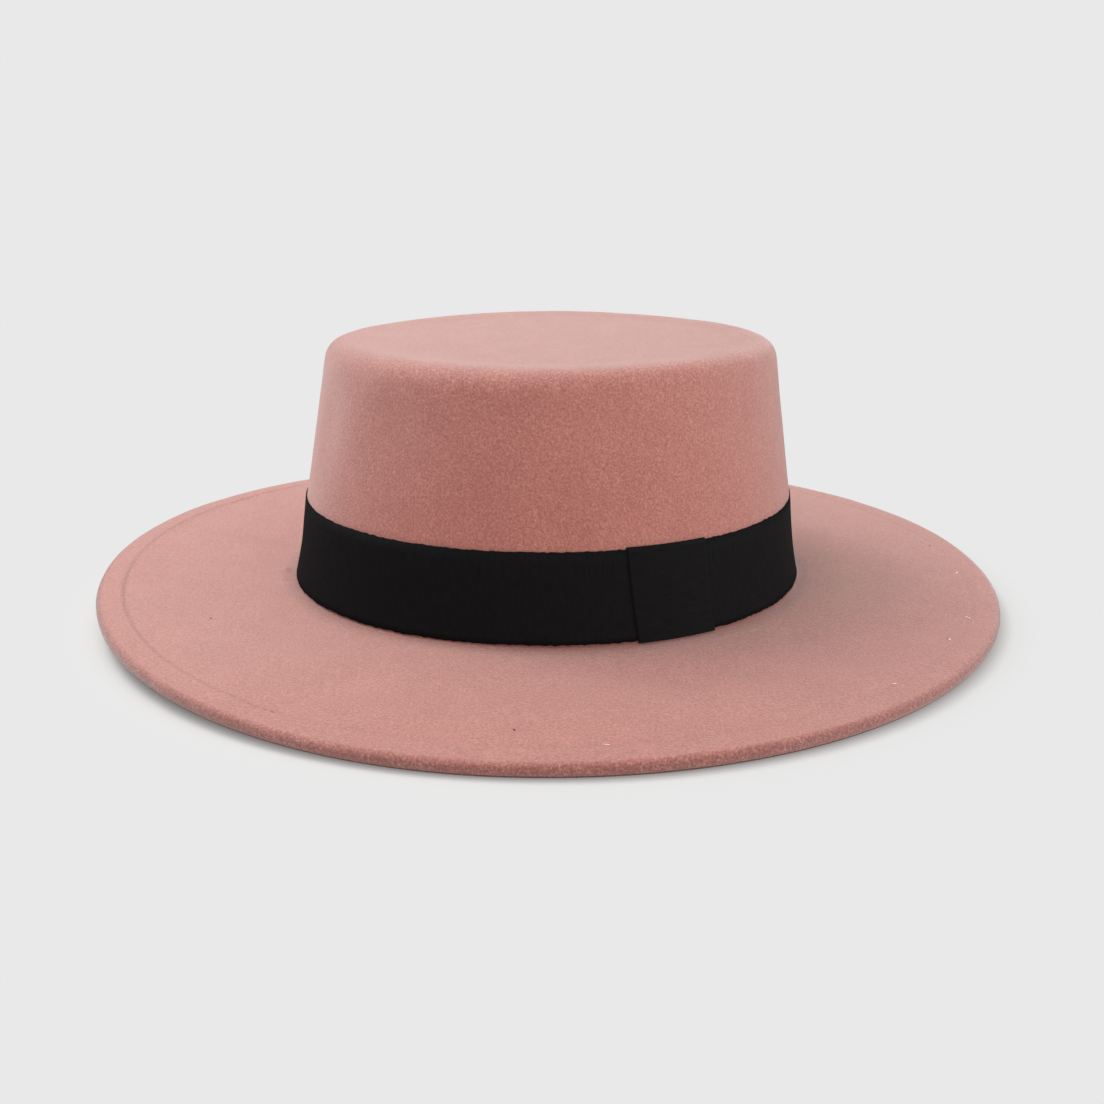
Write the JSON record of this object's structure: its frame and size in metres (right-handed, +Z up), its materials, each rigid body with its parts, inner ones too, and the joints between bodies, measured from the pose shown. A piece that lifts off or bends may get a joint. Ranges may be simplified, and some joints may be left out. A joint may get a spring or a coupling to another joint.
{
  "type": "spanish hat",
  "caption": "Flat-topped wool-felt hat with a wide level brim, a turned-under hem, a ribbon band and a flat ribbon keeper; open below for the head.",
  "frame": {"origin": "on the surface the hat rests on, under the middle of its bounding box", "axes": "+Z up out of the tip; X along the hat's longer oval axis, with the front of the hat at -X and the back at +X; the keeper is on the -Y side, the wearer's left"},
  "size_m": [0.3506, 0.3218, 0.0994],
  "materials": {
    "wool_felt": "dusty pink wool felt, matt with a fine raised nap",
    "grosgrain": "black grosgrain ribbon, ribs upright, soft low sheen",
    "grosgrain_keeper": "black grosgrain ribbon, ribs level, soft low sheen"
  },
  "bodies": {
    "root": {"felt_body": "wool_felt", "hat_band": "grosgrain", "band_keeper": "grosgrain_keeper"}
  },
  "joints": []
}
